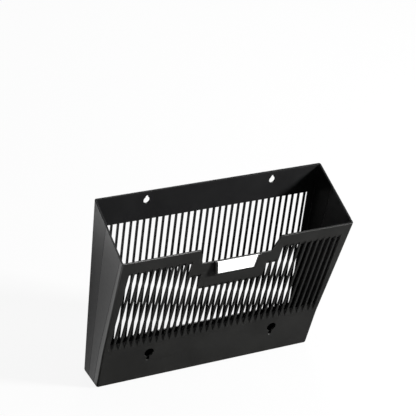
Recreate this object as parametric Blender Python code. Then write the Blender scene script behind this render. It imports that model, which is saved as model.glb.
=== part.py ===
"""Wall magazine file holder: a slotted document tray with a label holder on its front.

Run with blender --background --python part.py. Metres, +Z up. The origin is on the rear face,
midway between the two keyholes that the tray hangs on. X runs to the right and -Y out from the
wall. Heights here are measured up from the underside, and each object is lowered as it is added.

The tray is three plastic shells that meet in stepped seams down the sides and under the floor:
back_panel, side_and_floor_frame and front_panel. The label holder is pegged to the front panel,
and its card slides up out of it.
"""

import math

import bmesh
import bpy
from mathutils import Matrix, Vector

# Tray, measured on its outside
BACK_HEIGHT = 0.248
FRONT_HEIGHT = 0.207
BOTTOM_DEPTH = 0.0416
KINK_HEIGHT = 0.056  # the front wall leans further out above this line
KINK_DEPTH = 0.0514
RIM_DEPTH = 0.0881
BOTTOM_HALF_WIDTH = 0.1522
SIDE_LEAN = 0.0314  # outward move of a side wall per unit of height
SIDE_FLARE = 0.040  # outward move of a side wall per unit of depth
WALL = 0.0025
OUTER_RADIUS = 0.003
INNER_RADIUS = 0.001

# Seams between the three shells
SEAM_GAP = 0.0003
SEAM_LAP = 0.003  # how far the frame's inner tongue reaches behind a panel's flange
BACK_SEAM_DEPTH = 0.0158  # at the floor
BACK_SEAM_LEAN = 0.0954
FRONT_FLANGE = 0.0105  # depth of the front panel's flange, from the floor up to the kink
FRONT_FLANGE_AT_RIM = 0.007

# Slots: the same spacing in the front and the rear wall
SLOTS_PER_SIDE = 17
SLOT_PITCH = 0.0089
SLOT_WIDTH = 0.0062
FRONT_FIELD_HALF_WIDTH = 0.1486
FRONT_SLOT_BOTTOM = 0.059
FRONT_SLOT_TOPS = ((5, 0.146), (7, 0.1685), (17, 0.1916))  # (slots out from the middle, height)
SLOT_CEILING_DROP = 0.004  # a front slot's ceiling falls this much through the wall
BACK_FIELD_HALF_WIDTH = 0.1468
BACK_SLOT_BOTTOM = 0.039
BACK_SLOT_TOP = 0.209

# Notch in the front rim
NOTCH_BOTTOM = 0.1842
NOTCH_HALF_WIDTH_BOTTOM = 0.0487
NOTCH_HALF_WIDTH_RIM = 0.0564

# Keyholes: a round hole with a narrow stem
FRONT_KEYHOLE = {"x": 0.089, "z": 0.044, "radius": 0.0065, "stem": 0.0045, "reach": -0.013}
BACK_KEYHOLE = {"x": 0.089, "z": 0.2356, "radius": 0.0044, "stem": 0.0040, "reach": 0.0066}

# Label holder and card, in a frame on the card's front face at the foot of the window
LABEL_LEAN = math.radians(5.2)
LABEL_FOOT = Vector((0, -0.0827, 0.1667))
WINDOW_HEIGHT = 0.0178
WINDOW_HALF_WIDTH_FOOT = 0.0256
WINDOW_HALF_WIDTH_TOP = 0.02875
HOLDER_BAR = 0.0034
HOLDER_FOOT = 0.0028
HOLDER_CORNER_RADIUS = 0.003
HOLDER_FRONT = 0.0008  # front of the holder's bars, ahead of the card
CARD_THICKNESS = 0.0005
CARD_MARGIN = 0.0014  # how far the card reaches behind the bars
CARD_CLEARANCE = 0.0003
CARD_FACE_CLEARANCE = 0.0002
PEG_RADIUS = 0.0015
PEG_X = 0.020
PEG_HEIGHT = 0.173

# Working sizes of the solids that are cut away
TOP = 0.262  # the uncut shells' top, above the rim
BEYOND = 0.020  # how far a cutter runs past what it cuts
FAR = 0.200  # past the tray in any direction
ARC_STEP = math.radians(20)
FLAT = math.radians(1)

LOWERED = Matrix.Translation((0, 0, -BACK_KEYHOLE["z"]))
LOWER_SLOPE = (KINK_DEPTH - BOTTOM_DEPTH) / KINK_HEIGHT
UPPER_SLOPE = (RIM_DEPTH - KINK_DEPTH) / (FRONT_HEIGHT - KINK_HEIGHT)


def collection(name):
    found = bpy.data.collections.new(name)
    bpy.context.scene.collection.children.link(found)
    return found


def clear_scene():
    for obj in list(bpy.data.objects):
        bpy.data.objects.remove(obj, do_unlink=True)


def plastic(name, colour, roughness):
    """A Principled material for a moulded or printed plastic piece."""
    material = bpy.data.materials.new(name)
    material.use_nodes = True
    shader = material.node_tree.nodes["Principled BSDF"]
    shader.inputs["Base Color"].default_value = (*colour, 1)
    shader.inputs["Roughness"].default_value = roughness
    shader.inputs["Metallic"].default_value = 0
    material.diffuse_color = (*colour, 1)
    return material


def add_part(name, mesh, material):
    part = bpy.data.objects.new(name, mesh)
    part.matrix_world = LOWERED
    PARTS.objects.link(part)
    mesh.materials.append(material)
    return part


def add_cutter(name, mesh):
    cutter = bpy.data.objects.new(name, mesh)
    cutter.matrix_world = LOWERED
    CUTTERS.objects.link(cutter)
    cutter.hide_render = True
    cutter.display_type = "WIRE"
    return cutter


def boolean(target, operation, other):
    modifier = target.modifiers.new(f"{operation.lower()} {other.name}", "BOOLEAN")
    modifier.operation = operation
    modifier.object = other


def extruded_outline(outline):
    """Mesh of a closed flat outline in XY, one metre thick to either side of it along Z."""
    curve = bpy.data.curves.new("outline", "CURVE")
    curve.dimensions = "2D"
    curve.fill_mode = "BOTH"
    curve.extrude = 1
    spline = curve.splines.new("POLY")
    spline.points.add(len(outline) - 1)
    for point, (u, v) in zip(spline.points, outline):
        point.co = (u, v, 0, 1)
    spline.use_cyclic_u = True
    source = bpy.data.objects.new("outline", curve)
    bpy.context.scene.collection.objects.link(source)
    graph = bpy.context.evaluated_depsgraph_get()
    mesh = bpy.data.meshes.new_from_object(source.evaluated_get(graph))
    bpy.data.objects.remove(source)
    bpy.data.curves.remove(curve)
    weld(mesh)
    return mesh


def weld(mesh):
    """Joins a curve's caps to its sides and turns every face outwards."""
    work = bmesh.new()
    work.from_mesh(mesh)
    bmesh.ops.remove_doubles(work, verts=work.verts, dist=1e-6)
    bmesh.ops.recalc_face_normals(work, faces=work.faces)
    work.to_mesh(mesh)
    work.free()


def prism_along_x(outline, low, high):
    """A (y, z) outline extruded from x = low to x = high."""
    mesh = extruded_outline(outline)
    for vertex in mesh.vertices:
        y, z, side = vertex.co
        vertex.co = (high if side > 0 else low, y, z)
    return mesh


def prism_along_y(outline, low, high):
    """An (x, z) outline extruded from y = low to y = high."""
    mesh = extruded_outline(outline)
    for vertex in mesh.vertices:
        x, z, side = vertex.co
        vertex.co = (x, low if side > 0 else high, z)
    return mesh


def plate(outline, low, high):
    """An (x, y) outline extruded from z = low to z = high."""
    mesh = extruded_outline(outline)
    for vertex in mesh.vertices:
        vertex.co.z = high if vertex.co.z > 0 else low
    return mesh


def joined(meshes):
    """One mesh that holds several separate bodies."""
    work = bmesh.new()
    for mesh in meshes:
        work.from_mesh(mesh)
        bpy.data.meshes.remove(mesh)
    whole = bpy.data.meshes.new("joined")
    work.to_mesh(whole)
    work.free()
    return whole


def arc(centre, radius, start, end):
    """Points on a circle from one angle to another, both included."""
    steps = max(1, round(abs(end - start) / ARC_STEP))
    angles = [start + (end - start) * step / steps for step in range(steps + 1)]
    return [
        (centre[0] + radius * math.cos(angle), centre[1] + radius * math.sin(angle))
        for angle in angles
    ]


def rounded_corner(before, corner, after, radius):
    """Arc that takes the place of one corner of an outline."""
    back = (Vector(before) - Vector(corner)).normalized()
    ahead = (Vector(after) - Vector(corner)).normalized()
    half_angle = back.angle(ahead) / 2
    centre = Vector(corner) + (back + ahead).normalized() * radius / math.sin(half_angle)
    first = Vector(corner) + back * radius / math.tan(half_angle) - centre
    turn = math.copysign(math.pi - 2 * half_angle, back.x * ahead.y - back.y * ahead.x)
    start = math.atan2(first.y, first.x)
    return arc(centre, radius, start, start - turn)


def front_depth(z, inset=0.0):
    """Depth of the front wall's outer face at a height, or of a face set in behind it."""
    lower = KINK_DEPTH + LOWER_SLOPE * (z - KINK_HEIGHT) - inset * math.hypot(1, LOWER_SLOPE)
    upper = KINK_DEPTH + UPPER_SLOPE * (z - KINK_HEIGHT) - inset * math.hypot(1, UPPER_SLOPE)
    return max(lower, upper)


def kink_height(inset):
    """Height at which the two slopes of the front wall meet, once both are set in."""
    spread = math.hypot(1, UPPER_SLOPE) - math.hypot(1, LOWER_SLOPE)
    return KINK_HEIGHT + inset * spread / (UPPER_SLOPE - LOWER_SLOPE)


def half_width(y, z, inset):
    slant = math.hypot(1, SIDE_LEAN, SIDE_FLARE)
    return BOTTOM_HALF_WIDTH + SIDE_LEAN * z - SIDE_FLARE * y - inset * slant


def hull(inset, radius):
    """The tray's solid outer form with its faces set in, taller than the rim, its edges rounded.

    It starts as a box. Once its edges are round, the front is pushed out to the wall's two slopes
    and the sides to their taper.
    """
    foot = front_depth(inset, inset)
    low = Vector((-BOTTOM_HALF_WIDTH, -foot, inset))
    high = Vector((BOTTOM_HALF_WIDTH, -inset, TOP + inset))
    middle = (low + high) / 2
    work = bmesh.new()
    bmesh.ops.create_cube(work, size=1, matrix=Matrix.LocRotScale(middle, None, high - low))
    everything = work.verts[:] + work.edges[:] + work.faces[:]
    kink = (0, 0, kink_height(inset))
    bmesh.ops.bisect_plane(work, geom=everything, plane_co=kink, plane_no=(0, 0, 1))
    edges = [edge for edge in work.edges if edge.calc_face_angle() > FLAT]
    bmesh.ops.bevel(
        work, geom=edges, offset=radius, segments=3, profile=0.5, affect="EDGES", clamp_overlap=True
    )
    for vertex in work.verts:
        x, y, z = vertex.co
        if y < middle.y:
            vertex.co.y -= front_depth(z, inset) - foot
        widening = half_width(vertex.co.y, z, inset) - BOTTOM_HALF_WIDTH
        vertex.co.x += widening * math.copysign(1, x)
    bmesh.ops.triangulate(work, faces=work.faces)
    mesh = bpy.data.meshes.new("hull")
    work.to_mesh(mesh)
    work.free()
    return mesh


def back_seam(shift):
    """Line of the seam behind which the back panel ends, moved forward by shift."""
    return [(-BACK_SEAM_DEPTH - BACK_SEAM_LEAN * z - shift, z) for z in (-BEYOND, TOP + BEYOND)]


def front_seam(shift):
    """Line of the seam ahead of which the front panel starts, moved forward by shift."""
    line = []
    for z in (-BEYOND, KINK_HEIGHT, TOP + BEYOND):
        above_kink = max(0, z - KINK_HEIGHT) / (FRONT_HEIGHT - KINK_HEIGHT)
        flange = FRONT_FLANGE + (FRONT_FLANGE_AT_RIM - FRONT_FLANGE) * above_kink
        line.append((-front_depth(z) + flange - shift, z))
    return line


def region(name, outline):
    """A wide prism that keeps or removes one stretch of the tray's depth."""
    return add_cutter(name, prism_along_x(outline, -FAR, FAR))


def cavity_cutter():
    return add_cutter("cavity", hull(WALL, INNER_RADIUS))


def rim_cutter():
    """All that lies above the rim, which slopes along the sides and is level front and back."""
    front = -front_depth(FRONT_HEIGHT, WALL / 2)
    outline = [(BEYOND, BACK_HEIGHT), (-WALL / 2, BACK_HEIGHT), (front, FRONT_HEIGHT)]
    outline += [(-FAR, FRONT_HEIGHT), (-FAR, TOP + BEYOND), (BEYOND, TOP + BEYOND)]
    return region("rim", outline)


def rebate_cutter(name, outline):
    """Removes the inner half of a panel's flange, where the frame's tongue goes."""
    inner_form = add_cutter(name, hull((WALL - SEAM_GAP) / 2, OUTER_RADIUS - WALL / 2))
    boolean(inner_form, "INTERSECT", region(f"{name}_region", outline))
    return inner_form


def slot_spans(field_half_width):
    """(number out from the middle, low x, high x) of every slot."""
    spans = []
    for number in range(SLOTS_PER_SIDE):
        centre = (number + 0.5) * SLOT_PITCH
        low = centre - SLOT_WIDTH / 2
        high = min(centre + SLOT_WIDTH / 2, field_half_width)
        spans += [(number, low, high), (number, -high, -low)]
    return spans


def front_slot_outline(top):
    """Side view of one front slot: an upright foot face, the wall's slope and a falling ceiling."""
    foot_y = -front_depth(FRONT_SLOT_BOTTOM)
    foot_top = FRONT_SLOT_BOTTOM + (WALL + SLOT_CEILING_DROP) * 2
    thickness = WALL * math.hypot(1, UPPER_SLOPE)
    drop = SLOT_CEILING_DROP / thickness
    inside = thickness + WALL
    return [
        (foot_y, FRONT_SLOT_BOTTOM - WALL),
        (foot_y, foot_top),
        (-front_depth(foot_top) + inside, foot_top),
        (-front_depth(top) + inside, top - drop * inside),
        (-front_depth(top) - BEYOND, top + drop * BEYOND),
        (foot_y - BEYOND, FRONT_SLOT_BOTTOM - WALL),
    ]


def front_slot_cutter():
    prisms = []
    for number, low, high in slot_spans(FRONT_FIELD_HALF_WIDTH):
        top = next(height for count, height in FRONT_SLOT_TOPS if number < count)
        prisms.append(prism_along_x(front_slot_outline(top), low, high))
    return add_cutter("front_slots", joined(prisms))


def back_slot_cutter():
    rear, inside = BEYOND, -WALL * 2
    outline = [(rear, BACK_SLOT_BOTTOM), (rear, BACK_SLOT_TOP)]
    outline += [(inside, BACK_SLOT_TOP), (inside, BACK_SLOT_BOTTOM)]
    spans = slot_spans(BACK_FIELD_HALF_WIDTH)
    prisms = [prism_along_x(outline, low, high) for _, low, high in spans]
    return add_cutter("back_slots", joined(prisms))


def keyhole_outline(side, keyhole):
    """A circle with a round-ended stem that reaches up, or down where reach is negative."""
    radius, half_stem = keyhole["radius"], keyhole["stem"] / 2
    join = math.asin(half_stem / radius)
    stem_end = abs(keyhole["reach"]) - half_stem
    points = arc((0, 0), radius, math.pi / 2 + join, 5 * math.pi / 2 - join)
    points += arc((0, stem_end), half_stem, 0, math.pi)
    way = math.copysign(1, keyhole["reach"])
    return [(side * keyhole["x"] + u, keyhole["z"] + way * v) for u, v in points]


def keyhole_cutter(name, keyhole, low, high):
    outlines = [keyhole_outline(side, keyhole) for side in (-1, 1)]
    return add_cutter(name, joined([prism_along_y(outline, low, high) for outline in outlines]))


def notch_cutter():
    slope = (NOTCH_HALF_WIDTH_RIM - NOTCH_HALF_WIDTH_BOTTOM) / (FRONT_HEIGHT - NOTCH_BOTTOM)
    top = FRONT_HEIGHT + BEYOND
    wide = NOTCH_HALF_WIDTH_BOTTOM + slope * (top - NOTCH_BOTTOM)
    narrow = NOTCH_HALF_WIDTH_BOTTOM
    outline = [(-narrow, NOTCH_BOTTOM), (narrow, NOTCH_BOTTOM), (wide, top), (-wide, top)]
    front = -front_depth(top)
    return add_cutter("notch", prism_along_y(outline, front - BEYOND, front + BEYOND))


def leaning_frame(point, lean):
    """Placement at a point with X across, Y up the leaning face and Z straight out of it."""
    up = Vector((0, -math.sin(lean), math.cos(lean)))
    out = Vector((0, -math.cos(lean), -math.sin(lean)))
    turn = Matrix((Vector((1, 0, 0)), up, out)).transposed().to_4x4()
    return Matrix.Translation(point) @ turn


def peg_pair(radius, low, high):
    """Two round bars square to the front wall, from low to high along its outward normal."""
    work = bmesh.new()
    point = Vector((0, -front_depth(PEG_HEIGHT), PEG_HEIGHT))
    face = leaning_frame(point, math.atan(UPPER_SLOPE))
    for x in (-PEG_X, PEG_X):
        place = face @ Matrix.Translation((x, 0, (low + high) / 2))
        bmesh.ops.create_cone(
            work, cap_ends=True, segments=24, radius1=radius, radius2=radius,
            depth=high - low, matrix=place,
        )
    mesh = bpy.data.meshes.new("pegs")
    work.to_mesh(mesh)
    work.free()
    return mesh


def window_half_width(u):
    """Half width of the label window at a height u above its foot."""
    widening = (WINDOW_HALF_WIDTH_TOP - WINDOW_HALF_WIDTH_FOOT) / WINDOW_HEIGHT
    return WINDOW_HALF_WIDTH_FOOT + widening * u


def flared_outline(low, high, margin):
    """A plate that widens with the window, a margin wider than it on each side."""
    foot = window_half_width(low) + margin
    top = window_half_width(high) + margin
    return [(-foot, low), (foot, low), (top, high), (-top, high)]


def holder_outline():
    """Flared plate with its two lower corners rounded."""
    outline = flared_outline(-HOLDER_FOOT, WINDOW_HEIGHT, HOLDER_BAR)
    foot_left, foot_right, top_right, top_left = outline
    right = rounded_corner(foot_left, foot_right, top_right, HOLDER_CORNER_RADIUS)
    left = rounded_corner(top_left, foot_left, foot_right, HOLDER_CORNER_RADIUS)
    return left + right + [top_right, top_left]


def build_back_panel(material):
    panel = add_part("back_panel", hull(0, OUTER_RADIUS), material)
    far_side = [(BEYOND, -BEYOND), (BEYOND, TOP + BEYOND)]
    boolean(panel, "INTERSECT", region("back_region", far_side + back_seam(-SEAM_GAP / 2)[::-1]))
    boolean(panel, "DIFFERENCE", CAVITY)
    boolean(panel, "DIFFERENCE", RIM)
    lap = back_seam(-SEAM_LAP - SEAM_GAP) + back_seam(SEAM_GAP)[::-1]
    boolean(panel, "DIFFERENCE", rebate_cutter("back_rebate", lap))
    boolean(panel, "DIFFERENCE", back_slot_cutter())
    boolean(panel, "DIFFERENCE", keyhole_cutter("back_keyholes", BACK_KEYHOLE, -BEYOND / 2, BEYOND))


def build_side_and_floor_frame(material):
    frame = add_part("side_and_floor_frame", hull(0, OUTER_RADIUS), material)
    middle = back_seam(SEAM_GAP / 2) + front_seam(-SEAM_GAP / 2)[::-1]
    boolean(frame, "INTERSECT", region("frame_region", middle))
    tongue = add_cutter("tongue", hull((WALL + SEAM_GAP) / 2, OUTER_RADIUS - WALL / 2))
    widened = back_seam(-SEAM_LAP) + front_seam(SEAM_LAP)[::-1]
    boolean(tongue, "INTERSECT", region("tongue_region", widened))
    boolean(frame, "UNION", tongue)
    boolean(frame, "DIFFERENCE", CAVITY)
    boolean(frame, "DIFFERENCE", RIM)


def build_front_panel(material):
    panel = add_part("front_panel", hull(0, OUTER_RADIUS), material)
    far_side = [(-FAR, TOP + BEYOND), (-FAR, -BEYOND)]
    boolean(panel, "INTERSECT", region("front_region", front_seam(SEAM_GAP / 2) + far_side))
    boolean(panel, "DIFFERENCE", CAVITY)
    boolean(panel, "DIFFERENCE", RIM)
    lap = front_seam(-SEAM_GAP) + front_seam(SEAM_LAP + SEAM_GAP)[::-1]
    boolean(panel, "DIFFERENCE", rebate_cutter("front_rebate", lap))
    boolean(panel, "DIFFERENCE", notch_cutter())
    boolean(panel, "DIFFERENCE", front_slot_cutter())
    depth = front_depth(FRONT_KEYHOLE["z"])
    holes = keyhole_cutter("front_keyholes", FRONT_KEYHOLE, -depth - BEYOND, -depth + BEYOND)
    boolean(panel, "DIFFERENCE", holes)
    peg_holes = peg_pair(PEG_RADIUS + SEAM_GAP, -BEYOND / 2, BEYOND / 2)
    boolean(panel, "DIFFERENCE", add_cutter("peg_holes", peg_holes))


def build_label_holder(material):
    placement = LOWERED @ leaning_frame(LABEL_FOOT, LABEL_LEAN)
    holder = add_part("label_holder", plate(holder_outline(), -BEYOND, HOLDER_FRONT), material)
    holder.matrix_world = placement
    boolean(holder, "DIFFERENCE", add_cutter("front_wall_clearance", hull(-SEAM_GAP, OUTER_RADIUS)))
    above = WINDOW_HEIGHT + BEYOND
    window = add_cutter("label_window", plate(flared_outline(0, above, 0), -CARD_THICKNESS, BEYOND))
    low_face = -CARD_THICKNESS - CARD_FACE_CLEARANCE
    margin = CARD_MARGIN + CARD_CLEARANCE
    pocket_outline = flared_outline(-margin, above, margin)
    pocket = add_cutter("card_pocket", plate(pocket_outline, low_face, CARD_FACE_CLEARANCE))
    for cutter in (window, pocket):
        cutter.matrix_world = placement
        boolean(holder, "DIFFERENCE", cutter)
    pegs = add_cutter("pegs", peg_pair(PEG_RADIUS, -WALL, SEAM_GAP * 4))
    boolean(holder, "UNION", pegs)


def build_label_card(material):
    """The card's origin is on the line that it slides up along."""
    outline = flared_outline(-CARD_MARGIN, WINDOW_HEIGHT, CARD_MARGIN)
    card = add_part("label_card", plate(outline, -CARD_THICKNESS, 0), material)
    card.matrix_world = LOWERED @ leaning_frame(LABEL_FOOT, LABEL_LEAN)


clear_scene()
PARTS = collection("magazine_file_holder")
CUTTERS = collection("cutters")
CAVITY = cavity_cutter()
RIM = rim_cutter()

build_back_panel(plastic("back_panel_plastic", (0.018, 0.018, 0.020), 0.38))
build_side_and_floor_frame(plastic("frame_plastic", (0.020, 0.020, 0.022), 0.40))
build_front_panel(plastic("front_panel_plastic", (0.019, 0.019, 0.021), 0.38))
build_label_holder(plastic("label_holder_plastic", (0.012, 0.012, 0.013), 0.45))
build_label_card(plastic("label_card_white", (0.90, 0.90, 0.89), 0.55))
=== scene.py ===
"""Looks of a wall magazine file holder: softened pieces, materials, studio light and camera."""

import math

import bmesh
import bpy
from mathutils import Matrix, Vector


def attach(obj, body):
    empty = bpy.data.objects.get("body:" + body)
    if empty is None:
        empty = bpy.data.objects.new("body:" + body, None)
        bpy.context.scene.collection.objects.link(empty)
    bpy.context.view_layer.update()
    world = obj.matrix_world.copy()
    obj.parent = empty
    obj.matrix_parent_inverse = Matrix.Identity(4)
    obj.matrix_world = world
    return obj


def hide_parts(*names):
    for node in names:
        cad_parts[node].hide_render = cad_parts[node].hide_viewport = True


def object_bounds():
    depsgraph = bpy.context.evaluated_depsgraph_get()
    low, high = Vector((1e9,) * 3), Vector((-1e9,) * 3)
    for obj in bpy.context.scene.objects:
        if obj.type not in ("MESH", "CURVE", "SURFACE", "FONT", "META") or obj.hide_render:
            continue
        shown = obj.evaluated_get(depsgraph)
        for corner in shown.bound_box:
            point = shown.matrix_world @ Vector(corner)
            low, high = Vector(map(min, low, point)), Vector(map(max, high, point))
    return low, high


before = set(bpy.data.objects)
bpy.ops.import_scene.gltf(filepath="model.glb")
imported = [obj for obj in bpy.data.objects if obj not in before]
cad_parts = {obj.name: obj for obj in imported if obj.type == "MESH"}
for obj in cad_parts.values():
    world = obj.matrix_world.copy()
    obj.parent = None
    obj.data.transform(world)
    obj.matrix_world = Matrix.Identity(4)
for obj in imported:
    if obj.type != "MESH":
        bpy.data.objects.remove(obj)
CAD_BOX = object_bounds()

FLOOR_Z = CAD_BOX[0].z
LEFT_X = CAD_BOX[0].x
FRONT_Y = CAD_BOX[0].y

# Edge rounding, in metres and degrees
TRAY_EDGE = 0.0003
HOLDER_EDGE = 0.0002
CARD_EDGE = 0.0001
EDGE_SEGMENTS = 2
WELD_DISTANCE = 0.00001
FLAT_WITHIN = math.radians(1)
ROUND_FROM = math.radians(8)
SHARP_FROM = math.radians(25)
LEVEL_WITHIN = 0.999
HOLE_CENTRES = (-0.089, -0.020, 0.020, 0.089)  # x of the keyholes and of the label holder's pegs

# Black plastic: base colour and specular level of each piece, which differ slightly as painted
# light and shade: paler and glossier towards the front panel, for the steps of grey across the
# side walls
TRAY_LOOKS = {
    "back_panel": ((0.0065, 0.0065, 0.0068), 0.2),
    "side_and_floor_frame": ((0.007, 0.007, 0.0073), 0.34),
    "front_panel": ((0.0115, 0.0115, 0.011), 0.55),
}
HOLDER_LOOKS = (0.010, 0.010, 0.0095), 0.4
# Painted highlight: edges and inner corners are painted paler, within the given width, for the
# light that rims and corners catch
TRAY_PAINTED_HIGHLIGHT = 4.0  # how many times paler the edges are
HOLDER_PAINTED_HIGHLIGHT = 2.0
PAINTED_HIGHLIGHT_WITHIN = 0.0004
PLASTIC_ROUGHNESS = 0.33
SHEEN_VARIES_BY = 0.03
CARD_COLOUR = (0.9, 0.9, 0.895)
CARD_SPECULAR = 0.3

# Sizes of the fine detail, as noise scales
TINT_CLOUDS = 22
SHEEN_CLOUDS = 160
MOULD_GRAIN = 1800
CARD_FIBRES = 400
CARD_COATING = 900
CARD_TOOTH = 4000

# Camera: its place in metres, the way it looks, and its roll to the left or right
CAMERA_PLACE = Vector((-1.00295, -1.57185, 1.22715 + FLOOR_Z))
CAMERA_FORWARD = Vector((0.47236, 0.73962, -0.47941))
CAMERA_ROLL = math.radians(-7.43)
CAMERA_LENS_MM = 148.1
CAMERA_SENSOR_MM = 36
CAMERA_REACH = 50

# Studio
WORLD_LIGHT = 0.03
WORLD_SEEN = 1.0
FLOOR_SIZE = 12
FLOOR_ALBEDO = 0.6
FLOOR_ROUGHNESS = 0.9
FLOOR_WHITENING = 0.9
FLOOR_GAP = 0.0005
CARD_DROP = 0.02
CARD_GLOW = 4.0
FRONT_CARD_GLOW = 0.06
CORNER_CARD_CORNERS = (LEFT_X - 0.9, FRONT_Y - 0.6), (LEFT_X - 0.02, FRONT_Y - 0.13)
FRONT_CARD_CORNERS = (-0.1, FRONT_Y - 0.6), (0.9, FRONT_Y - 0.03)
LEFT_CARD_TURN = math.radians(32.5)
LEFT_CARD_CORNERS = (-0.6, 0.08), (-0.08, 0.47)
FAR_CARD_CORNERS = (-0.6, 0.475), (-0.07, 1.0)
LEFT_CARD_ACROSS = (1.5, 0.3, -0.19, -0.11)  # strength from and to, between these places
LEFT_CARD_ALONG = (0.95, 1.3, 0.3, 0.5)


def cut_across(shape, place, axis):
    """Cuts the whole shape along a plane and marks the new edges as seams."""
    everything = shape.verts[:] + shape.edges[:] + shape.faces[:]
    cut = bmesh.ops.bisect_plane(
        shape, geom=everything, dist=WELD_DISTANCE, plane_co=axis * place, plane_no=axis
    )
    for part in cut["geom_cut"]:
        if isinstance(part, bmesh.types.BMEdge):
            part.seam = True


def sharp_levels(shape):
    """Heights of the sharp edges that run level from side to side, such as slot ends and rims."""
    levels = set()
    for edge in shape.edges:
        along = (edge.verts[1].co - edge.verts[0].co).normalized()
        if abs(along.x) > LEVEL_WITHIN and edge.calc_face_angle(0) > SHARP_FROM:
            levels.add(round(edge.verts[0].co.z, 5))
    return sorted(levels)


def whole_faces(mesh, has_slots):
    """The mesh with its triangles merged into flat faces, cut so that none has a hole in it."""
    shape = bmesh.new()
    shape.from_mesh(mesh)
    bmesh.ops.remove_doubles(shape, verts=shape.verts, dist=WELD_DISTANCE)
    if has_slots:
        for level in sharp_levels(shape):
            cut_across(shape, level, Vector((0, 0, 1)))
    for centre in HOLE_CENTRES:
        cut_across(shape, centre, Vector((1, 0, 0)))
    bmesh.ops.dissolve_limit(
        shape, angle_limit=FLAT_WITHIN, verts=shape.verts, edges=shape.edges, delimit={"SEAM"}
    )
    for edge in shape.edges:
        edge.smooth = not FLAT_WITHIN < edge.calc_face_angle(0) < ROUND_FROM
    return shape


def softened(node, body, edge, material):
    """Adds a copy of a CAD node with whole flat faces and rounded edges, in the node's place."""
    shape = whole_faces(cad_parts[node].data, has_slots=node in TRAY_LOOKS)
    mesh = bpy.data.meshes.new("soft_" + node)
    for face in shape.faces:
        face.smooth = True
    shape.to_mesh(mesh)
    shape.free()
    mesh.materials.append(material)
    piece = bpy.data.objects.new("soft_" + node, mesh)
    bpy.context.scene.collection.objects.link(piece)
    rounding = piece.modifiers.new("rounded_edges", "BEVEL")
    rounding.limit_method = "ANGLE"
    rounding.angle_limit = SHARP_FROM
    rounding.width = edge
    rounding.segments = EDGE_SEGMENTS
    rounding.use_clamp_overlap = False
    shading = piece.modifiers.new("flat_faces_stay_flat", "WEIGHTED_NORMAL")
    shading.keep_sharp = True
    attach(piece, body)
    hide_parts(node)


class Shading:
    """A material's node tree, with short ways to add and join its nodes."""

    def __init__(self, name):
        self.material = bpy.data.materials.new(name)
        self.material.use_nodes = True
        self.tree = self.material.node_tree
        self.surface = self.tree.nodes["Principled BSDF"]
        self.place = self.add("ShaderNodeTexCoord").outputs["Object"]

    def add(self, kind, **values):
        """A new node; its inputs are set to the values, or joined to them if they are sockets."""
        node = self.tree.nodes.new(kind)
        for name, value in values.items():
            self.put(node.inputs[name.replace("_", " ")], value)
        return node

    def put(self, socket, value):
        """Sets the socket to a value, or joins it to another socket."""
        if isinstance(value, bpy.types.NodeSocket):
            self.tree.links.new(value, socket)
        else:
            socket.default_value = value

    def place_along_card(self):
        """Place in metres, along level axes turned with the left card."""
        ground = self.add("ShaderNodeNewGeometry").outputs["Position"]
        turned = self.add("ShaderNodeVectorRotate", Vector=ground, Angle=-LEFT_CARD_TURN)
        return turned.outputs["Vector"]

    def noise(self, scale, detail=2.0):
        """Grey clouds fixed to the piece, mostly between 0.3 and 0.7."""
        clouds = self.add("ShaderNodeTexNoise", Vector=self.place, Scale=scale, Detail=detail)
        return clouds.outputs["Fac"]

    def spread(self, value, low, high, start=0.3, end=0.7):
        """The value, which runs from start to end, brought to run from low to high."""
        ends = {"From_Min": start, "From_Max": end, "To_Min": low, "To_Max": high}
        return self.add("ShaderNodeMapRange", Value=value, **ends).outputs["Result"]

    def blend(self, share, first, second):
        """The colour first where share is 0, and second where it is 1."""
        node = self.add("ShaderNodeMix")
        node.data_type = "RGBA"
        for number, value in ((0, share), (6, first), (7, second)):
            self.put(node.inputs[number], value)
        return node.outputs[2]

    def scaled(self, colour, factor):
        """The colour times a single factor."""
        node = self.add("ShaderNodeVectorMath", Vector=colour)
        node.operation = "SCALE"
        self.put(node.inputs["Scale"], factor)
        return node.outputs["Vector"]

    def edges(self, radius, from_turn=0.995, to_turn=0.90):
        """1 along convex and concave edges, falling to 0 within the radius."""
        rounded = self.add("ShaderNodeBevel", Radius=radius)
        rounded.samples = 4
        turn = self.add("ShaderNodeVectorMath")
        turn.operation = "DOT_PRODUCT"
        self.put(turn.inputs[0], rounded.outputs["Normal"])
        self.put(turn.inputs[1], self.add("ShaderNodeNewGeometry").outputs["Normal"])
        return self.spread(turn.outputs["Value"], 0.0, 1.0, from_turn, to_turn)

    def relief(self, height, strength, depth):
        """Bumps on the surface, up to depth metres deep."""
        node = self.add("ShaderNodeBump", Strength=strength, Distance=depth, Height=height)
        self.put(self.surface.inputs["Normal"], node.outputs["Normal"])


def black_plastic(name, colour, specular, painted_highlight_gain):
    """Moulded plastic: a fine grain, a cloudy tint, an uneven sheen, and a painted highlight that
    makes the edges and inner corners paler.
    """
    shading = Shading(name)
    surface = shading.surface.inputs
    tint = shading.scaled(colour, shading.spread(shading.noise(TINT_CLOUDS), 0.85, 1.15))
    # Painted highlight: the colour is made many times paler along edges and inner corners
    painted_highlight_colour = (*(part * painted_highlight_gain for part in colour), 1)
    shading.put(surface["Base Color"], shading.blend(shading.edges(PAINTED_HIGHLIGHT_WITHIN), tint, painted_highlight_colour))
    smoothest, roughest = PLASTIC_ROUGHNESS - SHEEN_VARIES_BY, PLASTIC_ROUGHNESS + SHEEN_VARIES_BY
    sheen = shading.spread(shading.noise(SHEEN_CLOUDS), smoothest, roughest)
    shading.put(surface["Roughness"], sheen)
    shading.put(surface["Specular IOR Level"], specular)
    shading.relief(shading.noise(MOULD_GRAIN, detail=3.0), strength=0.12, depth=0.00005)
    return shading.material


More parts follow.
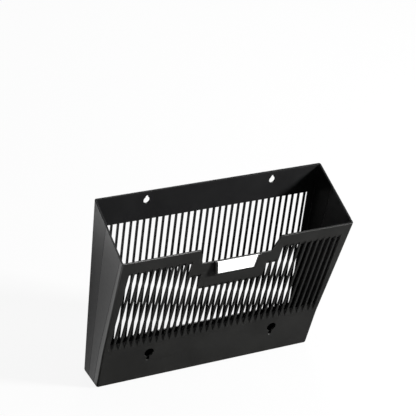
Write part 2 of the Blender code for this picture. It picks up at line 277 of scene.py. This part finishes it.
def white_card(name):
    """Coated card: near white, with faint fibre clouds and a fine tooth."""
    shading = Shading(name)
    surface = shading.surface.inputs
    clouds = shading.spread(shading.noise(CARD_FIBRES, detail=4.0), 0.97, 1.02)
    shading.put(surface["Base Color"], shading.scaled(CARD_COLOUR, clouds))
    shading.put(surface["Roughness"], shading.spread(shading.noise(CARD_COATING), 0.5, 0.65))
    shading.put(surface["Specular IOR Level"], CARD_SPECULAR)
    shading.relief(shading.noise(CARD_TOOTH), strength=0.1, depth=0.00003)
    return shading.material


def glow(name, strength=CARD_GLOW):
    """Shading that only gives off white light, with its light node as lit."""
    shading = Shading(name)
    shading.tree.nodes.remove(shading.surface)
    shading.lit = shading.add("ShaderNodeEmission", Strength=strength)
    shading.put(shading.tree.nodes["Material Output"].inputs["Surface"], shading.lit.outputs[0])
    shading.material.cycles.emission_sampling = "NONE"
    return shading


def studio_world():
    """White behind the object, and a dim grey for the light that reaches it."""
    world = bpy.data.worlds.new("studio")
    world.use_nodes = True
    nodes, links = world.node_tree.nodes, world.node_tree.links
    seen, light = nodes["Background"], nodes.new("ShaderNodeBackground")
    for background, strength in ((seen, WORLD_SEEN), (light, WORLD_LIGHT)):
        background.inputs["Color"].default_value = (1, 1, 1, 1)
        background.inputs["Strength"].default_value = strength
    path, mix = nodes.new("ShaderNodeLightPath"), nodes.new("ShaderNodeMixShader")
    links.new(path.outputs["Is Camera Ray"], mix.inputs["Fac"])
    links.new(light.outputs[0], mix.inputs[1])
    links.new(seen.outputs[0], mix.inputs[2])
    links.new(mix.outputs[0], nodes["World Output"].inputs["Surface"])
    bpy.context.scene.world = world


def soft_box(name, place, target, size, watts):
    """A rectangular lamp that faces its target."""
    light = bpy.data.lights.new(name, "AREA")
    light.shape = "RECTANGLE"
    light.size, light.size_y = size
    light.energy = watts
    lamp = bpy.data.objects.new(name, light)
    bpy.context.scene.collection.objects.link(lamp)
    lamp.location = place
    lamp.rotation_mode = "QUATERNION"
    lamp.rotation_quaternion = (Vector(target) - Vector(place)).to_track_quat("-Z", "Y")


def stage_sheet(name, corner, opposite, height, material):
    """A level sheet between two (x, y) corners, which belongs to the studio, not to the object."""
    middle = (Vector(corner) + Vector(opposite)) / 2
    size = Vector(opposite) - Vector(corner)
    bpy.ops.mesh.primitive_plane_add(size=1, location=(*middle, height))
    sheet = bpy.context.object
    sheet.name = name
    sheet.scale = (abs(size.x), abs(size.y), 1)
    sheet.data.materials.append(material)
    return sheet


def studio_floor():
    """A pale floor, nearly evenly white to the camera, which the plastic doesn't mirror."""
    shading = Shading("pale_floor")
    shading.put(shading.surface.inputs["Base Color"], (*(FLOOR_ALBEDO,) * 3, 1))
    shading.put(shading.surface.inputs["Roughness"], FLOOR_ROUGHNESS)
    whitening = shading.add("ShaderNodeMath")
    whitening.operation = "MULTIPLY"
    shading.put(whitening.inputs[0], shading.add("ShaderNodeLightPath").outputs["Is Camera Ray"])
    shading.put(whitening.inputs[1], FLOOR_WHITENING)
    mix = shading.add("ShaderNodeMixShader", Fac=whitening.outputs[0])
    shading.put(mix.inputs[1], shading.surface.outputs[0])
    shading.put(mix.inputs[2], shading.add("ShaderNodeEmission", Strength=WORLD_SEEN).outputs[0])
    shading.put(shading.tree.nodes["Material Output"].inputs["Surface"], mix.outputs[0])
    half = FLOOR_SIZE / 2
    level = FLOOR_Z - FLOOR_GAP
    floor = stage_sheet("floor", (-half, -half), (half, half), level, shading.material)
    floor.visible_glossy = False


def bounce_card(name, material, corner, opposite, turn=0.0):
    """A level card, turned about the origin, that shows only in the plastic's reflections."""
    card = stage_sheet(name, corner, opposite, FLOOR_Z - CARD_DROP, material)
    card.rotation_euler.z = turn
    card.location.xy = Matrix.Rotation(turn, 2) @ card.location.xy
    card.visible_camera = False
    card.visible_shadow = False
    card.visible_diffuse = False
    card.visible_transmission = False


def bounce_cards():
    """Cards left of and in front of the object; the left one fades across towards the object."""
    shading = glow("left_card_glow")
    place = shading.add("ShaderNodeSeparateXYZ", Vector=shading.place_along_card())
    across, along = place.outputs[:2]
    product = shading.add("ShaderNodeMath")
    product.operation = "MULTIPLY"
    shading.put(product.inputs[0], shading.spread(across, *LEFT_CARD_ACROSS))
    shading.put(product.inputs[1], shading.spread(along, *LEFT_CARD_ALONG))
    shading.put(shading.lit.inputs["Strength"], product.outputs[0])
    bounce_card("left_card", shading.material, *LEFT_CARD_CORNERS, LEFT_CARD_TURN)
    bounce_card("far_card", glow("far_card_glow").material, *FAR_CARD_CORNERS, LEFT_CARD_TURN)
    bounce_card("corner_card", glow("corner_card_glow").material, *CORNER_CARD_CORNERS)
    front_glow = glow("front_card_glow", FRONT_CARD_GLOW).material
    bounce_card("front_card", front_glow, *FRONT_CARD_CORNERS)


def direction(right, up):
    """Unit vector from the front face outwards, turned to the right and up by degrees."""
    right, up = math.radians(right), math.radians(up)
    return Vector((math.sin(right) * math.cos(up), -math.cos(right) * math.cos(up), math.sin(up)))


def studio_camera():
    """The scene's camera."""
    data = bpy.data.cameras.new("camera")
    data.lens = CAMERA_LENS_MM
    data.sensor_width = CAMERA_SENSOR_MM
    data.clip_end = CAMERA_REACH
    camera = bpy.data.objects.new("camera", data)
    bpy.context.scene.collection.objects.link(camera)
    camera.location = CAMERA_PLACE
    camera.rotation_mode = "QUATERNION"
    turn = CAMERA_FORWARD.to_track_quat("-Z", "Y").to_matrix()
    camera.rotation_quaternion = (turn @ Matrix.Rotation(-CAMERA_ROLL, 3, "Z")).to_quaternion()
    bpy.context.scene.camera = camera


for node, looks in TRAY_LOOKS.items():
    plastic = black_plastic("tray_plastic_" + node, *looks, TRAY_PAINTED_HIGHLIGHT)
    softened(node, "holder", TRAY_EDGE, plastic)
holder_plastic = black_plastic("label_holder_plastic", *HOLDER_LOOKS, HOLDER_PAINTED_HIGHLIGHT)
softened("label_holder", "holder", HOLDER_EDGE, holder_plastic)
softened("label_card", "card", CARD_EDGE, white_card("label_card"))

studio_world()
studio_floor()
bounce_cards()
key_place = direction(right=57, up=15) * 2.4
soft_box("key", key_place, target=(0, 0, -0.1), size=(0.4, 0.4), watts=185)
soft_box("overhead", (0.0, 0.1, 2.2), target=(0, 0, 0), size=(2.2, 2.2), watts=20)
soft_box("back_rim", (0.78, 1.45, 0.98), target=(0, 0, 0), size=(0.5, 0.7), watts=11)
studio_camera()
bpy.context.scene.view_settings.view_transform = "Standard"
